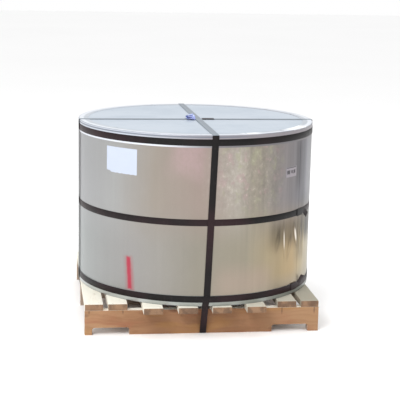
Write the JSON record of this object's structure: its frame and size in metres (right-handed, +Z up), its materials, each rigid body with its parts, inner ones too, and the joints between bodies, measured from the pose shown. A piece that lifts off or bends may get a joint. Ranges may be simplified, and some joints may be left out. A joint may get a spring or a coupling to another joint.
{
  "type": "packed steel coil",
  "caption": "Upright steel strip coil packed in galvanised sheet with edge rings, steel bands and crossed straps, on a notched wooden stringer pallet.",
  "frame": {"origin": "on the coil's axis, on the floor that the pallet stands on", "axes": "+Z up along the coil's axis, +X along the stringers, +Y from the pallet's front to its back, along the deck boards"},
  "size_m": [1.2032, 1.2396, 0.9908],
  "materials": {
    "coil_steel": "cold rolled strip",
    "galvanised_sheet": "smooth galvanised sheet with soft reflections",
    "cover_sheet": "pale zinc coated sheet",
    "ring_sheet": "bright zinc coated sheet",
    "strap_steel": "black waxed and painted steel strap",
    "tie_tape": "thin blue plastic tape",
    "label_paper": "plain paper sheet",
    "pallet_wood": "rough sawn softwood"
  },
  "bodies": {
    "root": {"steel_coil": "coil_steel", "outer_wrap": "galvanised_sheet", "top_cover": "cover_sheet", "bottom_cover": "cover_sheet", "top_ring": "ring_sheet", "bottom_ring": "ring_sheet", "bottom_band": "strap_steel", "middle_band": "strap_steel", "top_band": "strap_steel", "side_strap": "strap_steel", "front_strap": "strap_steel", "bottom_seal": "strap_steel", "middle_seal": "strap_steel", "top_seal": "strap_steel", "side_strap_seal": "strap_steel", "crossing_tie": "tie_tape", "large_label": "label_paper", "small_label": "label_paper", "stringer_front": "pallet_wood", "stringer_middle": "pallet_wood", "stringer_back": "pallet_wood", "deck_board_1": "pallet_wood", "deck_board_2": "pallet_wood", "deck_board_3": "pallet_wood", "deck_board_4": "pallet_wood", "deck_board_5": "pallet_wood", "deck_board_6": "pallet_wood", "deck_board_7": "pallet_wood", "deck_board_8": "pallet_wood"}
  },
  "joints": []
}
